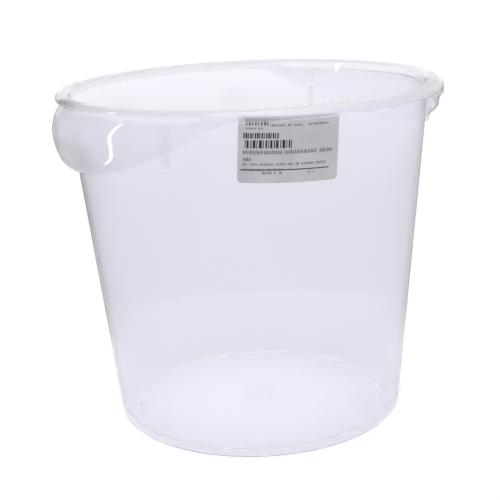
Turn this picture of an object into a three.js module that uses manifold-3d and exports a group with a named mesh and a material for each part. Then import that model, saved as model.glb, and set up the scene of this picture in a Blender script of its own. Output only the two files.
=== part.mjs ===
// A round, clear, open food storage tub, about 17 litres, with two moulded grips and a stuck-on label.
// Millimetres, +Z up. The origin is on the tub's axis, in the plane that it stands on.
// The grips lie on +X and -X.

import * as THREE from 'three';
import { mergeVertices } from 'three/addons/utils/BufferGeometryUtils.js';
import Module from 'manifold-3d';

// Tub
const HEIGHT = 292.5;            // foot to the crest of the rim
const WALL_TAPER = 27.8;         // how much the wall draws in from the crest to the foot
const WALL = 3;
const FLOOR = 3.5;
const FLOOR_FILLET = 12;         // inside, where the wall meets the floor
const BASE_ROUND = 5;            // outside, where the wall meets the foot
const FOOT_WIDTH = 11;           // the ring that the tub stands on
const FOOT_DEPTH = 1.5;          // how far the underside is set up inside that ring
const GATE_RADIUS = 23;          // round recess at the middle of the underside
const GATE_DEPTH = 0.7;

// Rim: a flat crest, then a lip that rolls outward and down
const RIM_RADIUS = 166.7;        // outermost edge of the plain lip
const LIP_REACH = 12.1;          // how far the plain lip stands out from the wall
const CREST_WIDTH = 3.2;         // flat ring on top, which a lid would sit on
const MOUTH_ROUND = 4;           // inner edge of the mouth
const LIP_DEPTH = 8.6;           // crest to the lower edge of the lip
const LIP_WALL = 3;
const LIP_EDGE_ROUND = 1.2;      // lower outer corner of the lip

// Grip: the lip is drawn in to a notch, and a bulging apron hangs below it
const GRIP_DROP = 45;            // how far the apron's edge hangs below the lip
const GRIP_HALF_ANGLE = 46.9;    // degrees from the grip's middle to where its edge would meet the lip
const GRIP_RUN_OUT = 4.2;        // softness of the curve where the edge runs out into the lip
const GRIP_TAKE_UP = 12.6;       // growth of the apron over which the lip is drawn in
const GRIP_WALL = 3;
const GRIP_LIP_INSET = 3.7;      // how far the drawn-in lip stays behind the plain one
const GRIP_LIP_DEPTH = 4.4;      // crest to that edge
const NOTCH_STAND = 4.4;         // wall to the bottom of the notch between the lip and the apron
const NOTCH_DEPTH = 8.4;
const BULGE = 9.6;               // how far the apron swells out from the notch
const BULGE_DEPTH = 33;          // crest to the widest part of the apron
const CURL_LENGTH = 11;          // lower stretch of the apron that turns in
const CURL_INSET = 2.4;          // how far it turns in
const SLOT_DEPTH = 12;           // crest to the round top of the slot between the apron and the wall
const GROOVE_ROUND = 1.3;        // between the plain lip and the wall

// Gusset ribs, one each side of a grip's middle
const RIB_ANGLE = 30.3;          // degrees from the grip's middle
const RIB_WALL = 3.2;
const RIB_SHOULDER_DEPTH = 26.5; // where the rib lets go of the apron
const RIB_FOOT_DEPTH = 44.5;     // where the rib ends on the wall
const RIB_SHOULDER_WIDTH = 10.5;
const RIB_FOOT_WIDTH = 9;

// Label: a rectangle laid on the wall's cone, its top behind the lip
const LABEL_WIDTH = 77;
const LABEL_HEIGHT = 50.8;
const LABEL_CORNER = 3;
const LABEL_THICKNESS = 0.25;
const LABEL_DEPTH = 32.4;        // crest to the label's middle
const LABEL_ANGLE = 245.2;       // degrees about +Z from +X to the label's middle
const LABEL_TILT = 2.55;         // degrees, the right end lower as seen from outside
const GLUE_GAP = 0.3;            // between the label and the wall

// Fineness of the facets
const TURN_STEPS = 96;           // around the tub
const ARC_STEPS = 4;             // along a small round
const LIP_STEPS = 6;             // over the lip
const UNDER_STEPS = 3;           // from the drawn-in lip's edge to the notch
const APRON_STEPS = 8;           // down the apron
const LABEL_STEPS = 8;           // across the label, between its corners

const plastic = new THREE.MeshStandardMaterial({ color: 0xe1e1ee, roughness: 0.12, metalness: 0 });
plastic.transparent = true;
plastic.opacity = 0.35;
const paper = new THREE.MeshStandardMaterial({ color: 0xb4b4b6, roughness: 0.7, metalness: 0 });

const wasm = await Module();
wasm.setup();

const { cos, sin, sqrt, PI } = Math;
const mix = (a, b, t) => a + (b - a) * t;
const smooth = (t) => THREE.MathUtils.smoothstep(t, 0, 1);
const radians = THREE.MathUtils.degToRad;

// Outlines are drawn in a plane through the axis, as points [radius, depth below the crest].

const DRAFT = WALL_TAPER / HEIGHT;
const TOP_RADIUS = RIM_RADIUS - LIP_REACH;
const wallOutside = (depth) => TOP_RADIUS - DRAFT * depth;
const wallInside = (depth) => wallOutside(depth) - WALL * sqrt(1 + DRAFT * DRAFT);

const GRIP_LIP_RADIUS = RIM_RADIUS - GRIP_LIP_INSET;
const NOTCH_RADIUS = wallOutside(NOTCH_DEPTH) + NOTCH_STAND;
const BULGE_RADIUS = NOTCH_RADIUS + BULGE;

// Points on an ellipse quarter or part of one. Angle 0 points outward and 90 degrees points up.
function arc(radius, depth, across, tall, fromDegrees, toDegrees, steps = ARC_STEPS) {
  return Array.from({ length: steps + 1 }, (_, i) => {
    const angle = radians(mix(fromDegrees, toDegrees, i / steps));
    return [radius + across * cos(angle), depth - tall * sin(angle)];
  });
}

// Two outlines with as many points, one blended into the other.
const blend = (a, b, t) => a.map(([r, d], i) => [mix(r, b[i][0], t), mix(d, b[i][1], t)]);

// Depth of the apron's lower edge at an angle from the grip's middle: a parabola that runs out into
// the lip's own lower edge.
function edgeDepth(degrees) {
  const parabola = GRIP_DROP * (1 - (degrees / GRIP_HALF_ANGLE) ** 2);
  return LIP_DEPTH + GRIP_RUN_OUT * Math.log(1 + Math.exp(parabola / GRIP_RUN_OUT));
}

// How far the plain lip has turned into the grip's drawn-in lip, from 0 to 1.
const gripShare = (depth) => smooth((depth - LIP_DEPTH - GRIP_RUN_OUT) / GRIP_TAKE_UP);

// Outside of the grip below its notch: an arc to the widest part, then straight, then curled in.
function apronRadius(depth, edge) {
  const sag = BULGE_RADIUS - NOTCH_RADIUS;
  const rise = BULGE_DEPTH - NOTCH_DEPTH;
  const bend = (rise * rise + sag * sag) / (2 * sag);
  const above = Math.max(BULGE_DEPTH - depth, 0);
  const curl = Math.max(depth - edge + CURL_LENGTH, 0) / CURL_LENGTH;
  return BULGE_RADIUS - bend + sqrt(bend * bend - above * above) - CURL_INSET * curl * curl;
}

// The crest's outer edge, where the lip starts to roll over
const CREST_INNER = wallInside(MOUTH_ROUND) + MOUTH_ROUND;
const CREST_OUTER = CREST_INNER + CREST_WIDTH;

// Half section of the moulding at an angle from the grip's middle, as chains of points that run from
// the middle of the floor, up the inside, over the rim and down the outside to the underside.
function sectionAt(degrees) {
  const edge = edgeDepth(degrees);
  const share = gripShare(edge);
  const floorTop = HEIGHT - FOOT_DEPTH - FLOOR;
  const underside = HEIGHT - FOOT_DEPTH;

  const filletMiddle = wallInside(floorTop - FLOOR_FILLET) - FLOOR_FILLET;
  const inside = [
    [0, floorTop],
    [GATE_RADIUS, floorTop],
    ...arc(filletMiddle, floorTop - FLOOR_FILLET, FLOOR_FILLET, FLOOR_FILLET, -90, 0),
    ...arc(CREST_INNER, MOUTH_ROUND, MOUTH_ROUND, MOUTH_ROUND, 180, 90),
  ];

  const plainRoll = RIM_RADIUS - CREST_OUTER;
  const plainTip = LIP_DEPTH - LIP_EDGE_ROUND;
  const plainLip = [
    ...arc(CREST_OUTER, plainTip, plainRoll, plainTip, 90, 0, LIP_STEPS),
    [RIM_RADIUS - LIP_EDGE_ROUND, LIP_DEPTH],
  ];
  const gripRoll = GRIP_LIP_RADIUS - CREST_OUTER;
  const gripSteps = LIP_STEPS + 1 - UNDER_STEPS;
  const underLip = Array.from({ length: UNDER_STEPS }, (_, i) => {
    const t = (i + 1) / UNDER_STEPS;
    return [mix(GRIP_LIP_RADIUS, NOTCH_RADIUS, smooth(t)), mix(GRIP_LIP_DEPTH, NOTCH_DEPTH, t)];
  });
  const gripLip = [
    ...arc(CREST_OUTER, GRIP_LIP_DEPTH, gripRoll, GRIP_LIP_DEPTH, 90, 0, gripSteps),
    ...underLip,
  ];
  const lip = blend(plainLip, gripLip, share);

  const steps = share > 0 ? APRON_STEPS : 1;
  const down = (top) => Array.from({ length: steps }, (_, i) => mix(top, edge, (i + 1) / steps));
  const lipFoot = lip[lip.length - 1];
  const apronOut = down(lipFoot[1]).map((depth) => {
    const plain = RIM_RADIUS - LIP_EDGE_ROUND;
    return [mix(plain, apronRadius(Math.max(depth, NOTCH_DEPTH), edge), share), depth];
  });

  const wallTop = [wallOutside(LIP_WALL + 2 * GROOVE_ROUND), LIP_WALL + 2 * GROOVE_ROUND];
  const plainInner = RIM_RADIUS - LIP_WALL;
  const innerRoll = plainTip - LIP_WALL;
  const plainGroove = [
    ...arc(CREST_OUTER, plainTip, plainInner - CREST_OUTER, innerRoll, 0, 90),
    ...arc(wallTop[0] + GROOVE_ROUND, wallTop[1] - GROOVE_ROUND, GROOVE_ROUND, GROOVE_ROUND, 90, 180),
  ];
  const slot = (apronRadius(SLOT_DEPTH, edge) - GRIP_WALL - wallOutside(SLOT_DEPTH)) / 2;
  const slotMiddle = wallOutside(SLOT_DEPTH) + slot;
  const gripGroove = [
    ...arc(slotMiddle, SLOT_DEPTH, slot, slot, 0, 90),
    ...arc(slotMiddle, SLOT_DEPTH, slot, slot, 90, 180),
  ];
  const groove = blend(plainGroove, gripGroove, share);
  const apronIn = down(groove[0][1]).map((depth) => {
    const outside = apronRadius(Math.max(depth, NOTCH_DEPTH), edge);
    return [mix(plainInner, outside - GRIP_WALL, share), depth];
  });

  const baseRound = wallOutside(HEIGHT - BASE_ROUND) - BASE_ROUND;
  const footInner = baseRound - FOOT_WIDTH;
  const outside = [
    ...arc(baseRound, HEIGHT - BASE_ROUND, BASE_ROUND, BASE_ROUND, 0, -90),
    [footInner, HEIGHT],
    [footInner - FOOT_DEPTH, underside],
    [GATE_RADIUS, underside],
    [GATE_RADIUS - GATE_DEPTH, underside - GATE_DEPTH],
    [0, underside - GATE_DEPTH],
  ];
  return [inside, lip, apronOut, apronIn.reverse(), groove, outside];
}

// Skin between two chains of points that may differ in how many they have.
function zip(a, b, addTriangle) {
  let i = 0;
  let j = 0;
  while (i < a.length - 1 || j < b.length - 1) {
    const nextA = i < a.length - 1 ? (i + 1) / (a.length - 1) : Infinity;
    const nextB = j < b.length - 1 ? (j + 1) / (b.length - 1) : Infinity;
    if (nextA <= nextB) {
      addTriangle(a[i], a[i + 1], b[j]);
      i += 1;
    } else {
      addTriangle(a[i], b[j + 1], b[j]);
      j += 1;
    }
  }
}

// A closed geometry from loose triangles, with shared corners merged and flat ones dropped.
function closedGeometry(positions) {
  const loose = new THREE.BufferGeometry();
  loose.setAttribute('position', new THREE.Float32BufferAttribute(positions, 3));
  const merged = mergeVertices(loose, 1e-4);
  const index = Array.from(merged.index.array);
  const kept = [];
  for (let i = 0; i < index.length; i += 3) {
    const [a, b, c] = index.slice(i, i + 3);
    if (a !== b && b !== c && c !== a) {
      kept.push(a, b, c);
    }
  }
  merged.setIndex(kept);
  return merged;
}

const place = ([radius, depth], angle) => [radius * cos(angle), radius * sin(angle), HEIGHT - depth];

// The moulding without its ribs: a section that changes as it goes once round the axis.
function sweptMoulding() {
  const positions = [];
  const sections = Array.from({ length: TURN_STEPS }, (_, i) => {
    const turn = (360 * i) / TURN_STEPS;
    const fromGrip = Math.min(turn % 180, 180 - (turn % 180));
    const angle = (2 * PI * i) / TURN_STEPS;
    return sectionAt(fromGrip).map((chain) => chain.map((point) => place(point, angle)));
  });
  sections.forEach((here, i) => {
    const next = sections[(i + 1) % TURN_STEPS];
    here.forEach((chain, k) => {
      const lead = k > 0 ? [here[k - 1][here[k - 1].length - 1]] : [];
      const nextLead = k > 0 ? [next[k - 1][next[k - 1].length - 1]] : [];
      zip([...lead, ...chain], [...nextLead, ...next[k]], (a, b, c) => positions.push(...a, ...b, ...c));
    });
  });
  return closedGeometry(positions);
}

// A gusset rib: a plate in a plane through the axis, from the wall to the apron.
function rib(degrees, side) {
  const edge = edgeDepth(RIB_ANGLE);
  const onApron = (depth) => apronRadius(depth, edge) - GRIP_WALL / 2;
  const onWall = (depth) => wallOutside(depth) - WALL / 2;
  const top = GRIP_LIP_DEPTH + LIP_WALL / 2;
  const held = Array.from({ length: ARC_STEPS + 1 }, (_, i) => {
    const depth = mix(NOTCH_DEPTH, RIB_SHOULDER_DEPTH, i / ARC_STEPS);
    return [onApron(depth), depth];
  });
  const outline = [
    [onWall(top), top],
    [onApron(NOTCH_DEPTH), top],
    ...held,
    [wallOutside(RIB_SHOULDER_DEPTH) + RIB_SHOULDER_WIDTH, RIB_SHOULDER_DEPTH + RIB_WALL / 2],
    [wallOutside(RIB_FOOT_DEPTH) + RIB_FOOT_WIDTH, RIB_FOOT_DEPTH],
    [onWall(RIB_FOOT_DEPTH), RIB_FOOT_DEPTH],
  ];
  const shape = new THREE.Shape(outline.map(([radius, depth]) => new THREE.Vector2(radius, HEIGHT - depth)));
  const plate = new THREE.ExtrudeGeometry(shape, { depth: RIB_WALL, bevelEnabled: false });
  plate.translate(0, 0, -RIB_WALL / 2);
  plate.rotateX(PI / 2);
  plate.rotateZ(radians(degrees + side * RIB_ANGLE));
  return plate;
}

function toSolid(geometry) {
  const bare = geometry.clone();
  bare.deleteAttribute('normal');
  bare.deleteAttribute('uv');
  const merged = mergeVertices(bare, 1e-4);
  const vertProperties = new Float32Array(merged.attributes.position.array);
  const triVerts = new Uint32Array(merged.index.array);
  return new wasm.Manifold(new wasm.Mesh({ numProp: 3, vertProperties, triVerts }));
}

function toGeometry(solid) {
  const mesh = solid.getMesh();
  const geometry = new THREE.BufferGeometry();
  geometry.setAttribute('position', new THREE.Float32BufferAttribute(mesh.vertProperties, 3));
  geometry.setIndex(Array.from(mesh.triVerts));
  return geometry;
}

function containerBody() {
  let body = toSolid(sweptMoulding());
  for (const grip of [0, 180]) {
    for (const side of [-1, 1]) {
      body = body.add(toSolid(rib(grip, side)));
    }
  }
  const mesh = new THREE.Mesh(toGeometry(body), plastic);
  mesh.name = 'container_body';
  return mesh;
}

// A spot on the wall, from millimetres across and up on the flattened wall, with 0, 0 at the label's
// middle, as [radius, depth below the crest] and an angle.
function onFlatWall(across, up) {
  const lean = Math.atan(DRAFT);
  const fromTip = wallOutside(LABEL_DEPTH) / sin(lean) + up;
  const radius = Math.hypot(across, fromTip) * sin(lean);
  const angle = radians(LABEL_ANGLE) + Math.atan2(across, fromTip) / sin(lean);
  return { radius, depth: (TOP_RADIUS - radius) / DRAFT, angle };
}

// The label: a thin sheet with rounded corners.
function stockLabel() {
  const half = LABEL_WIDTH / 2;
  const flatEnd = half - LABEL_CORNER;
  const flat = Array.from({ length: LABEL_STEPS + 1 }, (_, i) => mix(-flatEnd, flatEnd, i / LABEL_STEPS));
  const corner = arc(flatEnd, 0, LABEL_CORNER, LABEL_CORNER, 90, 0).slice(1).map(([x]) => x);
  const stations = [...corner.map((x) => -x).reverse(), ...flat, ...corner];
  const tilt = radians(LABEL_TILT);

  const section = (x) => {
    const past = Math.max(Math.abs(x) - flatEnd, 0);
    const reach = LABEL_HEIGHT / 2 - LABEL_CORNER + sqrt(LABEL_CORNER ** 2 - past ** 2);
    const at = (y, off) => {
      const across = x * cos(tilt) + y * sin(tilt);
      const { radius, depth, angle } = onFlatWall(across, y * cos(tilt) - x * sin(tilt));
      return place([radius + GLUE_GAP + off, depth], angle);
    };
    return [at(reach, 0), at(-reach, 0), at(-reach, LABEL_THICKNESS), at(reach, LABEL_THICKNESS)];
  };

  const positions = [];
  const addQuad = (a, b, c, d) => positions.push(...a, ...c, ...b, ...a, ...d, ...c);
  const sections = stations.map(section);
  sections.slice(1).forEach((here, i) => {
    const last = sections[i];
    here.forEach((point, k) => {
      const next = (k + 1) % here.length;
      addQuad(last[k], last[next], here[next], point);
    });
  });
  addQuad(...sections[0].slice().reverse());
  addQuad(...sections[sections.length - 1]);
  const mesh = new THREE.Mesh(closedGeometry(positions), paper);
  mesh.name = 'stock_label';
  return mesh;
}

const container = new THREE.Group();
container.add(containerBody());
container.add(stockLabel());

export default container;
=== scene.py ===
"""A clear round food tub with two grips under its rim and a paper stock label."""
import math

import bpy
from bpy.props import FloatProperty, FloatVectorProperty, PointerProperty
from mathutils import Matrix, Vector


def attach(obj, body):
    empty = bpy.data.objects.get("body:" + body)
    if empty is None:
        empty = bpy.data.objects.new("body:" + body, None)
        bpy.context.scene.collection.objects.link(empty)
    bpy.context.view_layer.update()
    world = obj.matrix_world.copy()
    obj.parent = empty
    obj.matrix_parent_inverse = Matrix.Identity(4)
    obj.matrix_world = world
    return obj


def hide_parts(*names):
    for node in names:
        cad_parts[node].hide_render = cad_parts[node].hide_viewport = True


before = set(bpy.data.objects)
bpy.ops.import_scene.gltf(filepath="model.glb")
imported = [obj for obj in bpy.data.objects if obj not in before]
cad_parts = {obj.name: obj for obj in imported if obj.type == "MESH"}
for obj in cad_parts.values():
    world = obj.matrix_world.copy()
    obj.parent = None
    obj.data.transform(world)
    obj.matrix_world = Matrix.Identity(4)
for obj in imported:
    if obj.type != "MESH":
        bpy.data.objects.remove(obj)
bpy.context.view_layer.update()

bl_info = {
    "name": "Round Food Tub",
    "version": (1, 0, 0),
    "blender": (4, 5, 0),
    "location": "View3D > Sidebar > Food Tub",
    "description": "Builds a clear round food tub with grips and a stock label",
    "category": "Add Mesh",
}

MM = 0.001


# Settings that a user would change

def length(name, millimetres, description):
    return FloatProperty(name=name, description=description, default=millimetres * MM,
                         precision=5, unit="LENGTH")


def angle(name, degrees, description):
    return FloatProperty(name=name, description=description, default=math.radians(degrees),
                         subtype="ANGLE", unit="ROTATION")


def number(name, default, description):
    return FloatProperty(name=name, description=description, default=default, subtype="FACTOR")


def colour(name, default, description):
    return FloatVectorProperty(name=name, description=description, default=default,
                               size=3, min=0.0, max=1.0, subtype="COLOR")


class TubSizes(bpy.types.PropertyGroup):
    """Sizes of the round tub and its plain rim."""
    height: length("Height", 292.5, "Table to the crest of the rim")
    wall_taper: length("Wall Taper", 27.8, "How much smaller the radius is at the base")
    wall: length("Wall", 3.0, "Thickness of the side wall")
    floor: length("Floor", 3.5, "Thickness of the floor")
    floor_fillet: length("Floor Fillet", 12.0, "Round between the floor and the wall, inside")
    base_round: length("Base Round", 5.0, "Round at the foot of the wall, outside")
    foot_width: length("Foot Width", 11.0, "Width of the ring that the tub stands on")
    foot_depth: length("Foot Depth", 1.5, "How far the underside is set up from the table")
    gate_radius: length("Gate Radius", 23.0, "Radius of the moulding mark under the floor")
    gate_depth: length("Gate Depth", 0.7, "Depth of the moulding mark")
    rim_radius: length("Rim Radius", 166.7, "Axis to the outside of the plain rim")
    lip_reach: length("Lip Reach", 12.1, "Wall to the outside of the plain rim")
    crest_width: length("Crest Width", 3.2, "Flat on top of the rim")
    mouth_round: length("Mouth Round", 4.0, "Round between the wall and the crest, inside")
    lip_depth: length("Lip Depth", 8.6, "Crest to the lower edge of the plain rim")
    lip_wall: length("Lip Wall", 3.0, "Thickness of the rolled rim")
    groove_round: length("Groove Round", 1.3, "Round where the rim meets the wall, below")


class GripSizes(bpy.types.PropertyGroup):
    """Sizes of the two grips that hang below the rim, and of the ribs behind them."""
    drop: length("Drop", 45.0, "How far a grip hangs below the plain rim")
    half_angle: angle("Half Angle", 46.9, "Turn from the middle of a grip to its end")
    run_out: length("Run Out", 4.2, "How softly a grip's edge runs into the rim")
    take_up: length("Take Up", 12.6, "Drop over which the rim turns into the grip's own lip")
    lip_inset: length("Lip Inset", 3.7, "How far the lip above a grip stands in from the rim")
    lip_depth: length("Lip Depth", 4.4, "Crest to the widest line of that lip")
    notch_stand: length("Notch Stand", 4.4, "Wall to the hollow under that lip")
    notch_depth: length("Notch Depth", 8.4, "Crest to the hollow under that lip")
    bulge: length("Bulge", 9.6, "Hollow to the widest line of the grip")
    bulge_depth: length("Bulge Depth", 33.0, "Crest to the widest line of the grip")
    curl_length: length("Curl Length", 11.0, "Height of the turned-in band along the edge")
    curl_inset: length("Curl Inset", 2.4, "How far the edge turns in")
    slot_depth: length("Slot Depth", 12.0, "Crest to the top of the finger gap")
    rib_angle: angle("Rib Angle", 30.3, "Turn from the middle of a grip to each rib")
    rib_wall: length("Rib Wall", 3.2, "Thickness of a rib")
    rib_fillet: length("Rib Fillet", 0.7, "Softness of a rib's corners")
    rib_shoulder: length("Rib Shoulder", 26.5, "Crest to where a rib leaves the grip")
    rib_foot: length("Rib Foot", 44.5, "Crest to the foot of a rib")
    rib_shoulder_width: length("Rib Shoulder Width", 10.5, "Reach of a rib at its shoulder")
    rib_foot_width: length("Rib Foot Width", 9.0, "Reach of a rib at its foot")


class LabelSizes(bpy.types.PropertyGroup):
    """Sizes and place of the paper label."""
    width: length("Width", 77.0, "Width of the label")
    height: length("Height", 50.8, "Height of the label")
    corner: length("Corner", 3.0, "Corner radius of the label")
    thickness: length("Thickness", 0.25, "Thickness of paper and glue")
    lift: length("Lift", 0.3, "Gap between the wall and the paper")
    depth: length("Depth", 32.4, "Crest to the middle of the label")
    place: angle("Place", 245.2, "Turn around the tub to the middle of the label")
    tilt: angle("Tilt", 2.55, "How far the right end hangs lower")
    ink_lift: length("Ink Lift", 0.04, "Height of the print above the paper")


class Finishes(bpy.types.PropertyGroup):
    """Colours of the plastic, the paper and the print; the paper and rib colours hold painted
    shade, and the base colour painted light.
    """
    plastic: colour("Plastic", (0.959, 0.954, 0.992), "Tint of the clear plastic")
    frosted: colour("Frosted", (0.914, 0.91, 0.938), "Tint of the cloudy rim and grips")
    # Painted shade: the ribs are the same clear plastic, darkened here for the shade they show
    rib: colour("Rib", (0.86, 0.855, 0.87), "Tint of the ribs behind the grips")
    # Painted light: a paler, less violet tint that lightens the base's bend and floor, which
    # render dark
    base: colour("Base", (0.96, 0.956, 0.98), "Tint of the plastic in the base's bend and floor")
    speck: colour("Speck", (0.6, 0.59, 0.64), "Grit and scuffs on the plastic")
    gate: colour("Gate", (0.938, 0.93, 0.943), "Dull patch where the plastic was injected")
    # Painted shade: the label's white paper is given a grey colour for the shade it is in
    paper_in_shade: colour("Paper", (0.60, 0.595, 0.615), "Paper of the label")
    ink: colour("Ink", (0.022, 0.021, 0.026), "Print on the label")
    floor: colour("Floor", (0.87, 0.866, 0.9), "Table that the tub stands on")


class StageSettings(bpy.types.PropertyGroup):
    """Camera place and lamp levels."""
    distance: length("Camera Distance", 945.14, "Axis of the tub to the camera, level")
    height: length("Camera Height", 414.814, "Table to the camera")
    turn: angle("Camera Turn", -36.0, "Turn of the camera around the tub")
    pitch: angle("Camera Pitch", 16.123, "How far the camera looks down")
    roll: angle("Camera Roll", -2.624, "Lean of the camera")
    pan: angle("Camera Pan", -0.2235, "How far the camera looks beside the axis")
    lens: FloatProperty(name="Lens", description="Focal length for a square frame of 36 mm",
                        default=79.118, subtype="DISTANCE_CAMERA")
    ambient: number("Ambient", 0.78, "Soft light from all around")
    mirror_front: number("Mirror Front", 0.7, "How bright the room by the camera mirrors")
    mirror_back: number("Mirror Back", 1.12, "How bright the backdrop mirrors")
    top_power: number("Top Power", 0.45, "Strength of the soft light from above")
    strip_glow: number("Strip Glow", 11.0, "How bright the strips on the left are in reflections")


class FoodTubSettings(bpy.types.PropertyGroup):
    """All settings of the food tub."""
    tub: PointerProperty(name="Tub", description="Sizes of the tub", type=TubSizes)
    grip: PointerProperty(name="Grips", description="Sizes of the grips", type=GripSizes)
    label: PointerProperty(name="Label", description="Sizes of the label", type=LabelSizes)
    finish: PointerProperty(name="Finishes", description="Colours", type=Finishes)
    stage: PointerProperty(name="Stage", description="Camera and lamps", type=StageSettings)


# Node trees written as sums

RULE = "rule_"


def feed(node, feeds):
    """Give a node's inputs terms, sockets or plain values."""
    for key, value in feeds.items():
        if isinstance(value, Term):
            value = value.socket
        if isinstance(value, bpy.types.NodeSocket):
            node.id_data.links.new(value, node.inputs[key])
        else:
            node.inputs[key].default_value = value


def add_node(tree, kind, feeds=None, **settings):
    """A new node, with what its inputs are fed and its own settings."""
    node = tree.nodes.new(kind)
    for name, value in settings.items():
        setattr(node, name, value)
    feed(node, feeds or {})
    return node


def add_term(tree, kind, output, feeds=None, **settings):
    """One output of a new node, as a term."""
    return Term(tree, add_node(tree, kind, feeds, **settings).outputs[output])


def split_vector(tree, vector):
    """The three parts of a vector, as terms."""
    apart = add_node(tree, "ShaderNodeSeparateXYZ", {0: vector})
    return [Term(tree, socket) for socket in apart.outputs]


class Term:
    """A value in a node tree that takes part in sums."""

    def __init__(self, tree, socket):
        self.tree = tree
        self.socket = socket

    def math(self, operation, *values):
        return add_term(self.tree, "ShaderNodeMath", 0, dict(enumerate(values)),
                        operation=operation)

    def of(self, operation, *values):
        return self.math(operation, self, *values)

    def __add__(self, other):
        return self.of("ADD", other)

    def __sub__(self, other):
        return self.of("SUBTRACT", other)

    def __rsub__(self, other):
        return self.math("SUBTRACT", other, self)

    def __mul__(self, other):
        return self.of("MULTIPLY", other)

    __rmul__ = __mul__

    def __truediv__(self, other):
        return self.of("DIVIDE", other)

    def least(self, other):
        return self.of("MINIMUM", other)

    def most(self, other):
        return self.of("MAXIMUM", other)

    def to(self, other, share):
        return self + (other - self) * share

    def smooth(self):
        t = self.most(0.0).least(1.0)
        return t * t * (3.0 - 2.0 * t)


def add_socket(tree, way, kind, name):
    return tree.interface.new_socket(name=name, in_out=way, socket_type="NodeSocket" + kind)


def start_tree(name, sizes, materials):
    """A geometry tree with an input for each size, by its kind, and for each material.

    Returns the tree, its input node, the sizes as terms, and the inputs' values by identifier.
    """
    tree = bpy.data.node_groups.new(name, "GeometryNodeTree")
    tree.is_modifier = True
    for way in ("INPUT", "OUTPUT"):
        add_socket(tree, way, "Geometry", "Geometry")
    values, labels = {}, []
    for subtype, group in sizes.items():
        for label, value in group.items():
            item = add_socket(tree, "INPUT", "Float", label)
            item.subtype = subtype
            values[item.identifier] = value
            labels.append(label)
    for label, material in materials.items():
        values[add_socket(tree, "INPUT", "Material", label).identifier] = material
    source = add_node(tree, "NodeGroupInput")
    terms = {label: Term(tree, source.outputs[label]) for label in labels}
    return tree, source, terms, values


def pass_on(tree, kind, geometry, feeds=None, **settings):
    """Send geometry through a new node; returns the socket that it leaves by."""
    node = add_node(tree, kind, {"Geometry": geometry, **(feeds or {})}, **settings)
    return node.outputs["Geometry"]


def end_tree(tree, source, geometry, sharp_over=None, others=()):
    """Smooth shading, split at sharp folds, then plain geometry with its materials."""
    last = pass_on(tree, "GeometryNodeSetShadeSmooth", geometry, domain="FACE")
    if sharp_over is not None:
        fold = add_term(tree, "GeometryNodeInputMeshEdgeAngle", "Unsigned Angle")
        steep = fold.of("GREATER_THAN", sharp_over)
        last = pass_on(tree, "GeometryNodeSetShadeSmooth", last,
                       {"Selection": steep, "Shade Smooth": False}, domain="EDGE")
    last = pass_on(tree, "GeometryNodeRealizeInstances", last)
    for label, picked in (("Material", True), *others):
        last = pass_on(tree, "GeometryNodeSetMaterial", last,
                       {"Selection": picked, "Material": source.outputs[label]})
    add_node(tree, "NodeGroupOutput", {"Geometry": last})


def set_rule(piece, name, values):
    """Write a value on each point of a piece, for its tree."""
    rule = piece.data.attributes.new(RULE + name, "FLOAT", "POINT")
    rule.data.foreach_set("value", values)


def get_rule(tree, name):
    return add_term(tree, "GeometryNodeInputNamedAttribute", "Attribute", {"Name": RULE + name},
                    data_type="FLOAT")


def place_points(tree, geometry, *place):
    """Set Position from three terms; returns the moved geometry's socket."""
    spot = add_node(tree, "ShaderNodeCombineXYZ", dict(enumerate(place)))
    return pass_on(tree, "GeometryNodeSetPosition", geometry, {"Position": spot.outputs[0]})


def run_tree(piece, tree, values):
    """Run a tree on a piece and keep the result as its plain mesh."""
    step = piece.modifiers.new(tree.name, "NODES")
    step.node_group = tree
    for identifier, value in values.items():
        step[identifier] = value
    piece.update_tag()
    graph = bpy.context.evaluated_depsgraph_get()
    graph.update()
    mesh = bpy.data.meshes.new_from_object(piece.evaluated_get(graph), depsgraph=graph)
    if not mesh.polygons:
        raise RuntimeError(f"{piece.name}: the tree {tree.name} gave no faces")
    piece.modifiers.clear()
    spare = piece.data
    piece.data = mesh
    mesh.name = piece.name
    bpy.data.meshes.remove(spare)
    for name in [a.name for a in mesh.attributes if a.name.startswith(RULE)]:
        mesh.attributes.remove(mesh.attributes[name])


def new_piece(name, points, faces):
    mesh = bpy.data.meshes.new(name)
    mesh.from_pydata(points, [], faces)
    piece = bpy.data.objects.new(name, mesh)
    bpy.context.scene.collection.objects.link(piece)
    return piece


# The tub's section, as radius and depth below the crest

def mix(low, high, share):
    return low + (high - low) * share


def arc(radius, depth, across, down, start, end, steps):
    """Points on an ellipse, from one angle to another, in degrees up from straight outward."""
    points = []
    for step in range(steps + 1):
        a = math.radians(mix(start, end, step / steps))
        points.append((radius + across * math.cos(a), depth - down * math.sin(a)))
    return points


class TubShape:
    """The rule that the tub's section follows."""

    def __init__(self, tub, grip):
        self.tub = tub
        self.grip = grip
        self.draft = tub.wall_taper / tub.height
        self.top_radius = tub.rim_radius - tub.lip_reach
        self.skin = tub.wall * math.hypot(1.0, self.draft)
        self.half = tub.lip_wall / 2.0
        self.notch_radius = self.wall_out(grip.notch_depth) + grip.notch_stand
        self.bulge_radius = self.notch_radius + grip.bulge

    def wall_out(self, depth):
        return self.top_radius - self.draft * depth

    def wall_in(self, depth):
        return self.wall_out(depth) - self.skin

    def edge(self, turn):
        """Depth of the lower edge at a turn from the middle of a grip."""
        grip = self.grip
        hang = grip.drop * (1.0 - (turn / grip.half_angle) ** 2)
        return self.tub.lip_depth + grip.run_out * math.log1p(math.exp(hang / grip.run_out))

    def apron(self, depth, edge):
        """Radius of a grip's outside face."""
        grip = self.grip
        sag = self.bulge_radius - self.notch_radius
        rise = grip.bulge_depth - grip.notch_depth
        bend = (rise * rise + sag * sag) / (2.0 * sag)
        above = max(grip.bulge_depth - depth, 0.0)
        curl = max(depth - edge + grip.curl_length, 0.0) / grip.curl_length
        face = self.bulge_radius - bend + math.sqrt(bend * bend - above * above)
        return face - grip.curl_inset * curl * curl


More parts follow.
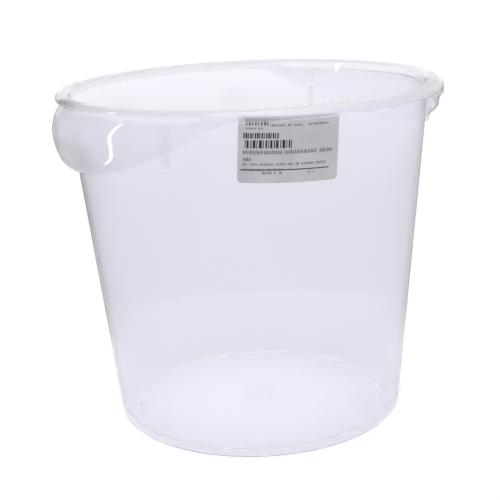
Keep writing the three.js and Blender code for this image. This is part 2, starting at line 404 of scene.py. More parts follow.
FLOOR_RINGS = 5
FILLET_STEPS = 12
WALL_ROWS = 16
ROUND_STEPS = 8
LIP_STEPS = 15
APRON_STEPS = 18
GROOVE_STEPS = 8
UPPER_ROWS = 22
UPPER_DEPTH = 48.0 * MM
UNDER_RINGS = 4
GATE_SLOPE = 7.0 * MM

RULE_NAMES = ("plain_r", "plain_d", "grip_r", "grip_d", "hang", "apron", "across", "down",
              "rib_r", "rib_d", "rib", "frost")


def tub_chain(shape):
    """Rows of the section from the floor's middle, over the rim, to the middle underneath."""
    tub, grip = shape.tub, shape.grip
    rows = []

    def add(plain, gripped=None, hang=0.0, apron=0.0, across=0.0, down=0.0):
        gripped = gripped or plain
        values = (*plain, *gripped, hang, apron, across, down, 0.0, 0.0, 0.0, 0.0)
        rows.append(dict(zip(RULE_NAMES, values)))

    def add_round(middle, depth, size, start, end, steps):
        for point in arc(middle, depth, size, size, start, end, steps):
            add(point)

    floor_top = tub.height - tub.floor
    fillet_depth = floor_top - tub.floor_fillet
    fillet_middle = shape.wall_in(fillet_depth) - tub.floor_fillet
    crest_inner = shape.wall_in(tub.mouth_round) + tub.mouth_round
    crest_outer = crest_inner + tub.crest_width
    for ring in range(FLOOR_RINGS):
        add((fillet_middle * ring / FLOOR_RINGS, floor_top))
    add_round(fillet_middle, fillet_depth, tub.floor_fillet, -90, 0, FILLET_STEPS)
    for row in range(1, WALL_ROWS):
        depth = mix(fillet_depth, tub.mouth_round, row / WALL_ROWS)
        add((shape.wall_in(depth), depth))
    rim_start = len(rows)
    add((shape.wall_in(tub.lip_depth), tub.lip_depth))
    add_round(crest_inner, tub.mouth_round, tub.mouth_round, 180, 90, ROUND_STEPS)

    plain_tip = tub.lip_depth - shape.half
    grip_lip = tub.rim_radius - grip.lip_inset
    plain_lip = arc(crest_outer, plain_tip, tub.rim_radius - crest_outer, plain_tip,
                    90, 0, LIP_STEPS)
    roll_steps = LIP_STEPS // 2 + 1
    gripped_lip = arc(crest_outer, grip.lip_depth, grip_lip - crest_outer, grip.lip_depth,
                      90, 0, roll_steps)
    under_steps = LIP_STEPS - roll_steps
    for step in range(1, under_steps + 1):
        share = step / under_steps
        soft = share * share * (3.0 - 2.0 * share)
        gripped_lip.append((mix(grip_lip, shape.notch_radius, soft),
                            mix(grip.lip_depth, grip.notch_depth, share)))
    for plain, gripped in zip(plain_lip, gripped_lip):
        add(plain, gripped)

    skirt = tub.rim_radius - shape.half
    for step in range(1, APRON_STEPS + 1):
        add((skirt, plain_tip), (skirt, grip.notch_depth), step / APRON_STEPS, 1.0, 1.0)
    for step in range(1, ROUND_STEPS):
        a = math.pi * step / ROUND_STEPS
        add((skirt, plain_tip), (skirt, grip.notch_depth), 1.0, 1.0, math.cos(a), math.sin(a))
    inner_start = len(rows)
    for step in range(APRON_STEPS + 1):
        add((skirt, plain_tip), (skirt, grip.slot_depth), 1.0 - step / APRON_STEPS, 1.0, -1.0)

    inner_roll = plain_tip - tub.lip_wall
    wall_top = tub.lip_wall + 2.0 * tub.groove_round
    wall_round = shape.wall_out(wall_top) + tub.groove_round
    plain_groove = arc(crest_outer, plain_tip, skirt - shape.half - crest_outer, inner_roll,
                       0, 90, GROOVE_STEPS)
    plain_groove += arc(wall_round, tub.lip_wall + tub.groove_round, tub.groove_round,
                        tub.groove_round, 90, 180, GROOVE_STEPS)[1:]
    slot_wall = shape.wall_out(grip.slot_depth)
    slot = (shape.apron(grip.slot_depth, 1.0) - tub.lip_wall - slot_wall) / 2.0
    grip_groove = arc(slot_wall + slot, grip.slot_depth, slot, slot, 0, 180, 2 * GROOVE_STEPS)
    for plain, gripped in list(zip(plain_groove, grip_groove))[1:]:
        add(plain, gripped)
    for row in rows[rim_start:]:
        row["frost"] = 1.0
    for row in range(1, UPPER_ROWS + 1):
        share = row / UPPER_ROWS
        plain = mix(wall_top, UPPER_DEPTH, share)
        gripped = mix(grip.slot_depth, UPPER_DEPTH, share)
        add((shape.wall_out(plain), plain), (shape.wall_out(gripped), gripped))
    fit_rib(shape, rows, inner_start)

    round_depth = tub.height - tub.base_round
    round_middle = shape.wall_out(round_depth) - tub.base_round
    for row in range(1, WALL_ROWS):
        depth = mix(UPPER_DEPTH, round_depth, row / WALL_ROWS)
        add((shape.wall_out(depth), depth))
    add_round(round_middle, round_depth, tub.base_round, 0, -90, ROUND_STEPS)
    foot_inner = round_middle - tub.foot_width
    under = tub.height - tub.foot_depth
    gate_under = under - tub.gate_depth
    add((foot_inner, tub.height))
    add((foot_inner - tub.foot_depth, under))
    for ring in range(1, UNDER_RINGS + 1):
        share = ring / UNDER_RINGS
        add((mix(foot_inner - tub.foot_depth, tub.gate_radius, share), under))
    add((tub.gate_radius - GATE_SLOPE, gate_under))
    add((tub.gate_radius / 2.0, gate_under))
    add((0.0, gate_under))
    return rows


def fit_rib(shape, rows, inner_start):
    """Give the rows around the finger gap their places on a rib's outline."""
    grip = shape.grip
    edge = shape.edge(grip.rib_angle)
    held = []
    for row in rows[inner_start:]:
        hanging = mix(row["grip_d"], edge - shape.half, row["hang"])
        on_grip = row["apron"] > 0.0 and hanging < grip.rib_shoulder
        on_wall = row["apron"] == 0.0 and row["grip_d"] < grip.rib_foot
        if on_grip or on_wall:
            held.append(row)
    shoulder_wall = shape.wall_out(grip.rib_shoulder)
    foot_wall = shape.wall_out(grip.rib_foot)
    corners = [
        (shape.apron(grip.rib_shoulder, edge) - 2.0 * shape.half, grip.rib_shoulder),
        (shoulder_wall + grip.rib_shoulder_width, grip.rib_shoulder + grip.rib_wall / 2.0),
        (foot_wall + grip.rib_foot_width, grip.rib_foot - grip.rib_fillet),
        (foot_wall + grip.rib_foot_width - grip.rib_fillet, grip.rib_foot),
        (foot_wall, grip.rib_foot),
    ]
    sides = list(zip(corners, corners[1:]))
    runs = [math.dist(start, end) for start, end in sides]
    for order, row in enumerate(held):
        along = sum(runs) * order / (len(held) - 1)
        for (start, end), run in zip(sides, runs):
            if along <= run or (start, end) == sides[-1]:
                share = min(along / run, 1.0)
                row.update(rib_r=mix(start[0], end[0], share),
                           rib_d=mix(start[1], end[1], share), rib=1.0)
                break
            along -= run


TURN_STEP = 0.75
RIB_CLEAR = 1.5
RIB_OFFSETS = (0.15, 0.42, 0.48, 0.53, 0.58, 0.63, 0.68, 0.74, 0.95, 1.25)


def tub_turns(grip):
    """Turns around the tub, in degrees, close together at the sides of the ribs."""
    rib = math.degrees(grip.rib_angle)
    ribs = (rib, 180.0 - rib, 180.0 + rib, 360.0 - rib)
    steps = round(360.0 / TURN_STEP)
    turns = [step * TURN_STEP for step in range(steps + 1)]
    turns = [t for t in turns if min(abs(t - at) for at in ribs) > RIB_CLEAR]
    for at in ribs:
        for offset in RIB_OFFSETS:
            turns += [at - offset, at + offset]
    return sorted(turns)


SAME_POINT = 1e-6
RIB_SHARE = "rib_share"
FROST_OVER = 0.75
TUB_FOLD = math.radians(32.0)


def tub_sizes(shape):
    """Values of the sizes in the tub's tree, by their kind."""
    tub, grip = shape.tub, shape.grip
    rib_radius = shape.wall_out(grip.rib_shoulder) + grip.rib_shoulder_width / 2.0
    return {
        "DISTANCE": {
            "Height": tub.height, "Lip Depth": tub.lip_depth, "Half Wall": shape.half,
            "Drop": grip.drop, "Run Out": grip.run_out, "Take Up": grip.take_up,
            "Notch Radius": shape.notch_radius, "Notch Depth": grip.notch_depth,
            "Bulge Radius": shape.bulge_radius, "Bulge Depth": grip.bulge_depth,
            "Curl Length": grip.curl_length, "Curl Inset": grip.curl_inset,
        },
        "ANGLE": {
            "Half Angle": grip.half_angle, "Rib Angle": grip.rib_angle,
            "Rib Half Turn": grip.rib_wall / 2.0 / rib_radius,
            "Rib Soft Turn": grip.rib_fillet / rib_radius,
        },
    }


def tub_tree(sizes, materials):
    """Sweeps the section around the axis, and lets the grips hang and the ribs stand."""
    tree, source, size, values = start_tree("tub_sweep", sizes, materials)
    rule = {name: get_rule(tree, name) for name in RULE_NAMES}
    turn = get_rule(tree, "turn")
    half_turn = turn.of("FLOORED_MODULO", math.pi)
    from_grip = half_turn.least(math.pi - half_turn)

    reach = from_grip / size["Half Angle"]
    hang = size["Drop"] * (1.0 - reach * reach)
    soft = ((hang / size["Run Out"]).of("EXPONENT") + 1.0).of("LOGARITHM", math.e)
    edge = size["Lip Depth"] + size["Run Out"] * soft
    share = ((edge - size["Lip Depth"] - size["Run Out"]) / size["Take Up"]).smooth()

    start = rule["plain_d"].to(rule["grip_d"], share)
    middle = start.to(edge - size["Half Wall"], rule["hang"])
    sag = size["Bulge Radius"] - size["Notch Radius"]
    rise = size["Bulge Depth"] - size["Notch Depth"]
    bend = (rise * rise + sag * sag) / (2.0 * sag)
    above = (size["Bulge Depth"] - middle.most(size["Notch Depth"])).most(0.0)
    curl = (middle - edge + size["Curl Length"]).most(0.0) / size["Curl Length"]
    face = size["Bulge Radius"] - bend + (bend * bend - above * above).most(0.0).of("SQRT")
    face = face - size["Curl Inset"] * curl * curl - size["Half Wall"]
    gripped = rule["grip_r"].to(face, rule["apron"])
    radius = rule["plain_r"].to(gripped, share) + size["Half Wall"] * rule["across"]
    depth = middle + size["Half Wall"] * rule["down"]

    beside = (from_grip - size["Rib Angle"]).of("ABSOLUTE")
    past = (beside - size["Rib Half Turn"]) / size["Rib Soft Turn"] + 0.5
    filled = rule["rib"] * (1.0 - past.smooth())
    radius = radius.to(rule["rib_r"], filled)
    depth = depth.to(rule["rib_d"], filled)

    swept = place_points(tree, source.outputs["Geometry"], radius * turn.of("COSINE"),
                         radius * turn.of("SINE"), size["Height"] - depth)
    marked = pass_on(tree, "GeometryNodeStoreNamedAttribute", swept,
                     {"Name": RIB_SHARE, "Value": filled}, data_type="FLOAT")
    welded = pass_on(tree, "GeometryNodeMergeByDistance", marked, {"Distance": SAME_POINT})
    frosted = rule["frost"].most(filled).of("GREATER_THAN", FROST_OVER)
    end_tree(tree, source, welded, TUB_FOLD, [("Frosted Material", frosted)])
    return tree, values


def make_tub(settings):
    """The moulding: a flat pattern of the section's rows, swept by its tree."""
    finish = settings.finish
    shape = TubShape(settings.tub, settings.grip)
    chain = tub_chain(shape)
    turns = [math.radians(t) for t in tub_turns(settings.grip)]
    across = len(chain)
    points = [(column * MM, row * MM, 0.0)
              for column in range(len(turns)) for row in range(across)]
    faces = []
    for column in range(len(turns) - 1):
        for row in range(across - 1):
            corner = column * across + row
            faces.append((corner, corner + 1, corner + across + 1, corner + across))
    piece = new_piece("container_moulding", points, faces)
    set_rule(piece, "turn", [t for t in turns for _ in chain])
    for name in RULE_NAMES:
        set_rule(piece, name, [row[name] for row in chain] * len(turns))
    run_tree(piece, *tub_tree(tub_sizes(shape), {
        "Material": moulded_plastic(finish, finish.plastic, **CLEAR),
        "Frosted Material": moulded_plastic(finish, finish.frosted, **FROSTED),
    }))
    return piece


# The label and its print

def wall_sizes(settings):
    """Values of the sizes that lay a sheet on the wall, by their kind."""
    shape = TubShape(settings.tub, settings.grip)
    label = settings.label
    sine = math.sin(math.atan(shape.draft))
    return {
        "DISTANCE": {"Tip Distance": shape.wall_out(label.depth) / sine,
                     "Top Radius": shape.top_radius, "Height": settings.tub.height},
        "ANGLE": {"Place": label.place, "Tilt": label.tilt},
        "NONE": {"Cone Sine": sine, "Draft": shape.draft},
    }


def wrap_rule(tree, size, geometry):
    """Lay flat geometry on the tapered wall, with its Z as the height above the wall."""
    spot = add_node(tree, "GeometryNodeInputPosition")
    flat_x, flat_y, lift = split_vector(tree, spot.outputs[0])
    tilt_c, tilt_s = size["Tilt"].of("COSINE"), size["Tilt"].of("SINE")
    across = flat_x * tilt_c + flat_y * tilt_s
    up = flat_y * tilt_c - flat_x * tilt_s
    from_tip = size["Tip Distance"] + up
    slant = (across * across + from_tip * from_tip).of("SQRT")
    radius = slant * size["Cone Sine"]
    turn = size["Place"] + across.of("ARCTAN2", from_tip) / size["Cone Sine"]
    z = size["Height"] - (size["Top Radius"] - radius) / size["Draft"]
    out = radius + lift
    return place_points(tree, geometry, out * turn.of("COSINE"), out * turn.of("SINE"), z)


PAPER_FOLD = math.radians(40.0)
CORNER_COLUMNS = 6
MIDDLE_COLUMNS = 28
PAPER_ROWS = 12


def make_label(settings):
    """The paper: a sheet with round corners, laid on the wall by its tree."""
    label = settings.label
    half_width, half_height = label.width / 2.0, label.height / 2.0
    inner = half_width - label.corner
    right = [inner + label.corner * math.sin(math.pi / 2.0 * step / CORNER_COLUMNS)
             for step in range(1, CORNER_COLUMNS + 1)]
    middle = [mix(-inner, inner, step / MIDDLE_COLUMNS) for step in range(MIDDLE_COLUMNS + 1)]
    columns = [-x for x in reversed(right)] + middle + right
    points, faces = [], []
    for lift in (label.lift + label.thickness, label.lift):
        for x in columns:
            past = max(abs(x) - inner, 0.0)
            rise = math.sqrt(max(label.corner ** 2 - past ** 2, 0.0))
            top = half_height - label.corner + rise
            for row in range(PAPER_ROWS + 1):
                points.append((x, mix(-top, top, row / PAPER_ROWS), lift))
    rows = PAPER_ROWS + 1
    back = len(columns) * rows
    end = back - rows
    for column in range(0, end, rows):
        for a in range(column, column + PAPER_ROWS):
            b = a + rows
            faces.append((a, b, b + 1, a + 1))
            faces.append((a + back, a + 1 + back, b + 1 + back, b + back))
    border = [*range(0, end, rows), *range(end, end + PAPER_ROWS),
              *range(end + PAPER_ROWS, PAPER_ROWS, -rows), *range(PAPER_ROWS, 0, -1)]
    for a, b in zip(border, border[1:] + border[:1]):
        faces.append((a, a + back, b + back, b))
    piece = new_piece("stock_label_paper", points, faces)
    flat = piece.data.uv_layers.new(name="flat")
    for loop in piece.data.loops:
        x, y, _ = points[loop.vertex_index]
        flat.data[loop.index].uv = (x / label.width + 0.5, y / label.height + 0.5)
    tree, source, size, values = start_tree("lay_on_wall", wall_sizes(settings), {
        "Material": label_paper(settings.finish)})
    end_tree(tree, source, wrap_rule(tree, size, source.outputs["Geometry"]), PAPER_FOLD)
    run_tree(piece, tree, values)
    return piece


# Each row of print: left end, height above the label's lower edge, mark height, step from mark
# to mark, share of the step that is ink, the marks in each group, and the marks' own heights as
# shares of the row's; lengths in millimetres
EVEN = (1.0,)
MIXED = (1.0, 0.74, 0.74, 0.96, 0.74, 0.82, 0.74)
PRINT_ROWS = (
    (5.8, 44.0, 5.4, 2.2, 0.42, (8,), EVEN),
    (23.8, 47.6, 1.6, 0.9, 0.45, (9, 8, 4), MIXED),
    (23.8, 43.1, 1.9, 0.95, 0.42, (12, 3, 7), MIXED),
    (52.4, 43.3, 1.7, 0.95, 0.42, (17,), EVEN),
    (5.8, 41.0, 1.7, 0.95, 0.42, (8, 4), MIXED),
    (4.0, 34.1, 4.2, 1.65, 0.62, (16,), EVEN),
    (3.8, 22.2, 3.4, 1.12, 0.42, (26, 22, 10), MIXED),
    (3.8, 16.8, 3.3, 1.15, 0.44, (6,), MIXED),
    (3.8, 13.5, 2.1, 0.92, 0.42, (4, 7, 11, 8, 5, 3, 11, 9), MIXED),
    (3.8, 9.6, 2.0, 0.92, 0.36, (18, 14), MIXED),
    (18.2, 6.8, 1.9, 0.95, 0.42, (8, 2, 3), EVEN),
    (52.8, 6.6, 1.7, 0.95, 0.42, (3, 1), EVEN),
)
GROUP_GAP = 1.6
BAR_COLUMNS = 4
MARK_WIDTH = (1.0, 1.25, 0.8, 1.1, 0.7)
# The row of stripes and the long line: left end, lower edge, height and length
STRIPES = (5.1, 26.7, 6.1, 35.4)
STRIPE_WIDTH = (2.1, 0.7, 1.2, 0.6, 1.6, 0.8, 1.9, 0.7)
STRIPE_GAP = (0.8, 1.1, 0.7, 1.3, 0.9)
LINE = (1.9, 9.7, 0.8, 67.8)
LINE_PIECES = 12


def print_marks():
    """Left end, lower edge, width and height of every mark, in millimetres."""
    marks = []
    for left, up, high, step, ink, groups, rise in PRINT_ROWS:
        x = left
        for group in groups:
            for _ in range(group):
                order = len(marks)
                wide = step * ink * MARK_WIDTH[order % len(MARK_WIDTH)]
                marks.append((x, up, wide, high * rise[order % len(rise)]))
                x += step
            x += step * GROUP_GAP
    left, up, high, run = STRIPES
    x = left
    while x < left + run:
        order = len(marks)
        wide = STRIPE_WIDTH[order % len(STRIPE_WIDTH)]
        marks.append((x, up, wide, high))
        x += wide + STRIPE_GAP[order % len(STRIPE_GAP)]
    left, up, high, run = LINE
    for order in range(LINE_PIECES):
        marks.append((left + run * order / LINE_PIECES, up, run / LINE_PIECES, high))
    return marks


def print_tree(sizes, materials):
    """Puts one bar on each point, at the point's own size, and lays all on the wall."""
    tree, source, size, values = start_tree("label_print", sizes, materials)
    bar = add_node(tree, "GeometryNodeMeshGrid", {
        "Size X": 1.0, "Size Y": 1.0, "Vertices X": BAR_COLUMNS, "Vertices Y": 2})
    extent = add_node(tree, "ShaderNodeCombineXYZ", {
        "X": get_rule(tree, "wide"), "Y": get_rule(tree, "tall"), "Z": 1.0})
    spread = add_node(tree, "GeometryNodeInstanceOnPoints", {
        "Points": source.outputs["Geometry"], "Instance": bar.outputs["Mesh"],
        "Scale": extent.outputs[0]})
    bars = pass_on(tree, "GeometryNodeRealizeInstances", spread.outputs["Instances"])
    end_tree(tree, source, wrap_rule(tree, size, bars))
    return tree, values


def make_print(settings):
    """Plain bars where the label's print is."""
    label = settings.label
    lift = label.lift + label.thickness + label.ink_lift
    points, wide, tall = [], [], []
    for left, low, run, rise in print_marks():
        points.append(((left + run / 2.0) * MM - label.width / 2.0,
                       (low + rise / 2.0) * MM - label.height / 2.0, lift))
        wide.append(run * MM)
        tall.append(rise * MM)
    piece = new_piece("stock_label_print", points, [])
    set_rule(piece, "wide", wide)
    set_rule(piece, "tall", tall)
    run_tree(piece, *print_tree(wall_sizes(settings), {
        "Material": label_ink(settings.finish)}))
    return piece


# Finishes

# Noises: detail and roughness, or scale, detail and roughness
CLOUD_NOISE = (4.0, 0.6)
FINE_NOISE = (3.0, 0.6)
GRIT_NOISE = (1.0, 0.4)
FLOW_NOISE = (22.0, 1.0, 0.4)
# Wear: the scales of its clouds and of its fine grain
PLASTIC_WEAR = (14.0, 900.0)
PAPER_WEAR = (60.0, 2600.0)
INK_WEAR = (90.0, 2600.0)
GRIT_SCALE = 0.35
GRIT_AREA = (0.52, 0.66)
GRIT_CUT = (0.775, 0.8)
# Bumps: distance and strength
FLOW_BUMP = (0.0012, 0.04)
PAPER_BUMP = (0.0001, 0.35)
INK_BUMP = (0.0001, 0.25)
# Soft steps: from low to high, and for roughness and wear the values at both
GATE_FADE = (0.012, 0.027)
GATE_RISE = (0.006, 0.009)
BASE_RISE = (0.011, 0.017)
HAZE_CLOUD = (0.3, 0.75)
PAPER_MOTTLE = (0.3, 0.7)
PAPER_ROUGH = (0.2, 0.8, 0.48, 0.66)
INK_ROUGH = (0.3, 0.7, 0.4, 0.58)
INK_WORN = (0.5, 0.85, 0.0, 0.5)
GATE_RAGGED = 0.02
GLOSS = 0.8
GLOSS_ROUGH = 0.05
RIB_HAZE = 0.25
BASE_HAZE = 0.5
PAPER_DARKER, PAPER_LIGHTER = 0.93, 1.06
INK_FADED = 0.3
WEAR_MASKS = ("Cloud", "Fine", "Speck")
PASSING = 0.955
CLEAR = {"name": "clear_plastic", "bend": 1.055, "haze": (0.03, 0.06)}
FROSTED = {"name": "frosted_plastic", "bend": 1.085, "haze": (0.36, 0.46)}
BLACK = (0.0, 0.0, 0.0)
WHITE = (1.0, 1.0, 1.0, 1.0)
AHEAD = Vector((0.0, 1.0, 0.0))
LEFT = Vector((-1.0, 0.0, 0.0))


def noise(tree, vector, scale, detail, rough):
    return add_term(tree, "ShaderNodeTexNoise", "Fac", {
        "Vector": vector, "Scale": scale, "Detail": detail, "Roughness": rough,
    }, noise_dimensions="3D")


def ramp(tree, term, low, high, to_low=0.0, to_high=1.0):
    """A soft step between two values."""
    return add_term(tree, "ShaderNodeMapRange", "Result", {
        "Value": term, "From Min": low, "From Max": high, "To Min": to_low, "To Max": to_high,
    }, interpolation_type="SMOOTHSTEP", clamp=True)


def toward(tree, vector, direction):
    """How far a vector goes in a direction."""
    return add_term(tree, "ShaderNodeVectorMath", "Value", {0: vector, 1: direction},
                    operation="DOT_PRODUCT")


def ray_kinds(tree):
    """Shares of the rays that come from the camera, through plastic and off a mirror."""
    path = add_node(tree, "ShaderNodeLightPath")
    seen, through, glossy = (Term(tree, path.outputs[f"Is {kind} Ray"])
                             for kind in ("Camera", "Transmission", "Glossy"))
    return seen, through, glossy * (1.0 - through)


def blend_colours(tree, share, low, high):
    """From low, a colour or a colour's socket, to the colour high."""
    if not isinstance(low, bpy.types.NodeSocket):
        low = (*low, 1.0)
    node = add_node(tree, "ShaderNodeMix", {0: share, 6: low, 7: (*high, 1.0)}, data_type="RGBA")
    return node.outputs[2]


def choose_shader(tree, share, low, high):
    """Give the surface the shader low, and high where the share is 1."""
    choice = add_node(tree, "ShaderNodeMixShader", {"Fac": share, 1: low, 2: high})
    feed(tree.nodes["Material Output"], {"Surface": choice.outputs["Shader"]})


def bump(tree, shader, height, distance, strength):
    node = add_node(tree, "ShaderNodeBump", {
        "Height": height, "Distance": distance, "Strength": strength})
    feed(shader, {"Normal": node.outputs["Normal"]})


def handling_group():
    """Wear from stacking and handling, shared by the plastic, the paper and the print."""
    name = "handling_wear"
    if name in bpy.data.node_groups:
        return bpy.data.node_groups[name]
    tree = bpy.data.node_groups.new(name, "ShaderNodeTree")
    add_socket(tree, "INPUT", "Vector", "Vector")
    for label in ("Cloud Scale", "Fine Scale"):
        add_socket(tree, "INPUT", "Float", label)
    for label in WEAR_MASKS:
        add_socket(tree, "OUTPUT", "Float", label)
    source = add_node(tree, "NodeGroupInput")
    vector = source.outputs["Vector"]
    fine_scale = source.outputs["Fine Scale"]
    cloud = noise(tree, vector, source.outputs["Cloud Scale"], *CLOUD_NOISE)
    fine = noise(tree, vector, fine_scale, *FINE_NOISE)
    grit = noise(tree, vector, Term(tree, fine_scale) * GRIT_SCALE, *GRIT_NOISE)
    speck = ramp(tree, grit, *GRIT_CUT) * ramp(tree, cloud, *GRIT_AREA)
    add_node(tree, "NodeGroupOutput", dict(zip(WEAR_MASKS, (cloud, fine, speck))))
    return tree


def new_material(name):
    material = bpy.data.materials.new(name)
    material.use_nodes = True
    return material, material.node_tree


def start_material(name, cloud_scale, fine_scale):
    """A material, its tree and shader, its Object coordinates and the masks of its wear."""
    material, tree = new_material(name)
    place = add_node(tree, "ShaderNodeTexCoord").outputs["Object"]
    wear = add_node(tree, "ShaderNodeGroup", {
        "Vector": place, "Cloud Scale": cloud_scale, "Fine Scale": fine_scale,
    }, node_tree=handling_group())
    masks = {mask: Term(tree, wear.outputs[mask]) for mask in WEAR_MASKS}
    return material, tree, tree.nodes["Principled BSDF"], place, masks


def moulded_plastic(finish, body, name, bend, haze):
    """Moulded plastic with a faint violet tint, haze, scuffs and grit, with painted shade on the
    ribs and painted light at the base.
    """
    material, tree, shader, place, wear = start_material(name, *PLASTIC_WEAR)
    x, y, z = split_vector(tree, place)
    from_axis = (x * x + y * y).of("SQRT") + (wear["Cloud"] - 0.5) * GATE_RAGGED
    gate = ramp(tree, from_axis, *GATE_FADE, 1.0, 0.0) * ramp(tree, z, *GATE_RISE, 1.0, 0.0)
    above_base = ramp(tree, z, *BASE_RISE)
    on_rib = add_term(tree, "ShaderNodeAttribute", "Fac", attribute_name=RIB_SHARE)
    # Painted light: below the base's rise the plastic takes the lightened base tint
    tint_and_painted_light = blend_colours(tree, above_base, finish.base, body)
    # Painted shade: the rib colour darkens the ribs; speck and gate are real grit and the
    # moulding mark
    for share, stain in ((on_rib, finish.rib), (wear["Speck"], finish.speck),
                         (gate, finish.gate)):
        tint_and_painted_light = blend_colours(tree, share, tint_and_painted_light, stain)
    rough = ramp(tree, wear["Cloud"], *HAZE_CLOUD, *haze) + on_rib * RIB_HAZE
    feed(shader, {
        "Base Color": tint_and_painted_light, "Transmission Weight": PASSING, "IOR": bend,
        "Roughness": rough * above_base.most(BASE_HAZE),
        "Coat Weight": above_base * (1.0 - on_rib) * GLOSS, "Coat Roughness": GLOSS_ROUGH,
    })
    bump(tree, shader, noise(tree, place, *FLOW_NOISE), *FLOW_BUMP)
    shadow = add_term(tree, "ShaderNodeLightPath", "Is Shadow Ray")
    clear = add_node(tree, "ShaderNodeBsdfTransparent", {"Color": (*finish.plastic, 1.0)})
    choose_shader(tree, shadow, shader.outputs["BSDF"], clear.outputs["BSDF"])
    return material


def label_paper(finish):
    """Coated label paper, a little mottled, with a fibre grain; its grey colour is painted shade
    on white paper.
    """
    material, tree, shader, _, wear = start_material("label_paper", *PAPER_WEAR)
    darker = tuple(value * PAPER_DARKER for value in finish.paper_in_shade)
    lighter = tuple(min(value * PAPER_LIGHTER, 1.0) for value in finish.paper_in_shade)
    mottle = ramp(tree, wear["Cloud"], *PAPER_MOTTLE)
    feed(shader, {"Base Color": blend_colours(tree, mottle, darker, lighter),
                  "Roughness": ramp(tree, wear["Fine"], *PAPER_ROUGH)})
    bump(tree, shader, wear["Fine"], *PAPER_BUMP)
    return material


def label_ink(finish):
    """Black print that lets the paper's grain through."""
    material, tree, shader, _, wear = start_material("label_ink", *INK_WEAR)
    worn = ramp(tree, wear["Fine"], *INK_WORN)
    faded = tuple(mix(ink, paper_in_shade, INK_FADED) for ink, paper_in_shade in zip(finish.ink, finish.paper_in_shade))
    feed(shader, {"Base Color": blend_colours(tree, worn, finish.ink, faded),
                  "Roughness": ramp(tree, wear["Cloud"], *INK_ROUGH)})
    bump(tree, shader, wear["Fine"], *INK_BUMP)
    return material


# The stage

TABLE_GAP = 0.3 * MM
TABLE_SIDE = 24.0
TABLE_ROUGH = 0.8
# Soft steps of the table with the distance from the axis, for its painted shade and painted
# light, and of the room with the direction
TABLE_FADE = (0.2, 0.32)
LIT_DISC_EDGE = (0.31, 0.313)
FAR_GLOW_RISE = (0.6, 2.8)
SIDE_FADE = (0.22, 0.4)
SIDE_END = (1.6, 2.1)
BACKDROP_TURN = (-0.5, 0.7)
LEFT_TURN = (0.2, 0.6)
# Dims paint shade on the table; the table lift makes it evenly white to the eye; the lit disc and
# far glow lifts paint light on it through the plastic
TABLE_DIM = 0.5
TABLE_LIFT = 0.25
LIT_DISC_LIFT = 0.045
FAR_GLOW_LIFT = 0.19
SIDE_DIM = 0.2
SIDE_MIRROR_DIM = 0.2
LEFT_SHARE = 0.55
PANEL_CORNERS = ((-1, -1), (1, -1), (1, 1), (-1, 1))
SUN_SPREAD = math.radians(50.0)
SUN_LEAN = math.radians(6.0)
SENSOR_WIDTH = 36.0
NEAR_CLIP = 0.01
STRIP_WIDTH = 0.026
STRIP_AXES = Matrix(((0.0, -1.0, 0.0), (0.0, 0.0, 1.0), (-1.0, 0.0, 0.0))).transposed().to_4x4()
# Name, middle, lean and height of each strip, with the camera looking along +Y
STRIPS = (("upper_strip", (-0.6, -0.128, 0.502), math.radians(16.3), 0.44),
          ("middle_strip", (-0.6, -0.190, 0.226), 0.0, 0.13),
          ("lower_strip", (-0.6, -0.157, 0.119), math.radians(-34.0), 0.103))


def table_top(finish, facing):
    """Pale table: white to the eye, with its shadow; painted shade darkens it in far reflections
    and on the left, and painted light brightens a disc around the tub and the far table through
    the plastic.
    """
    material, tree = new_material("table_top")
    place = add_node(tree, "ShaderNodeTexCoord").outputs["Object"]
    seen, through, mirrored = ray_kinds(tree)
    reach = add_term(tree, "ShaderNodeVectorMath", "Value", {0: place}, operation="LENGTH")
    # Painted shade: the table is darkened on the left, in reflections and through the plastic
    left_shade = ramp(tree, toward(tree, place, facing @ LEFT), *SIDE_FADE)
    left_shade = left_shade * ramp(tree, reach, *SIDE_END, 1.0, 0.0)
    # Painted shade: the table is darkened away from the tub in reflections
    table_shade = ramp(tree, reach, *TABLE_FADE) * mirrored * TABLE_DIM
    table_shade = table_shade + left_shade * (through * SIDE_DIM + mirrored * SIDE_MIRROR_DIM)
    # Painted light: a disc around the tub and the far table glow brighter when seen through the
    # plastic
    lit_disc = ramp(tree, reach, *LIT_DISC_EDGE, LIT_DISC_LIFT, 0.0)
    back = ramp(tree, reach, *FAR_GLOW_RISE, 0.0, FAR_GLOW_LIFT)
    feed(tree.nodes["Principled BSDF"], {
        "Base Color": blend_colours(tree, table_shade, finish.floor, BLACK),
        "Roughness": TABLE_ROUGH, "Specular IOR Level": 0.0, "Emission Color": WHITE,
        "Emission Strength": seen * TABLE_LIFT + through * (lit_disc + back),
    })
    return material


def strip_glow(stage):
    """A lit strip that shows only in mirror reflections, and lets all else pass."""
    material, tree = new_material("strip_glow")
    tree.nodes.remove(tree.nodes["Principled BSDF"])
    _, _, mirrored = ray_kinds(tree)
    glow = add_node(tree, "ShaderNodeEmission", {"Strength": stage.strip_glow})
    clear = add_node(tree, "ShaderNodeBsdfTransparent")
    choose_shader(tree, mirrored, clear.outputs["BSDF"], glow.outputs["Emission"])
    material.cycles.emission_sampling = "NONE"
    return material


def studio_world(stage, facing):
    """White to the eye and through the plastic, soft light, and a dimmer room in reflections."""
    world = bpy.data.worlds.new("studio")
    world.use_nodes = True
    tree = world.node_tree
    seen, through, mirrored = ray_kinds(tree)
    way = add_node(tree, "ShaderNodeTexCoord").outputs["Generated"]
    room = ramp(tree, toward(tree, way, facing @ AHEAD), *BACKDROP_TURN,
                stage.mirror_front, stage.mirror_back)
    room = room * ramp(tree, toward(tree, way, facing @ LEFT), *LEFT_TURN, 1.0, LEFT_SHARE)
    white = (seen + through).least(1.0)
    level = (1.0 - mirrored) * stage.ambient + mirrored * room
    feed(tree.nodes["Background"], {"Color": WHITE, "Strength": level * (1.0 - white) + white})
    return world


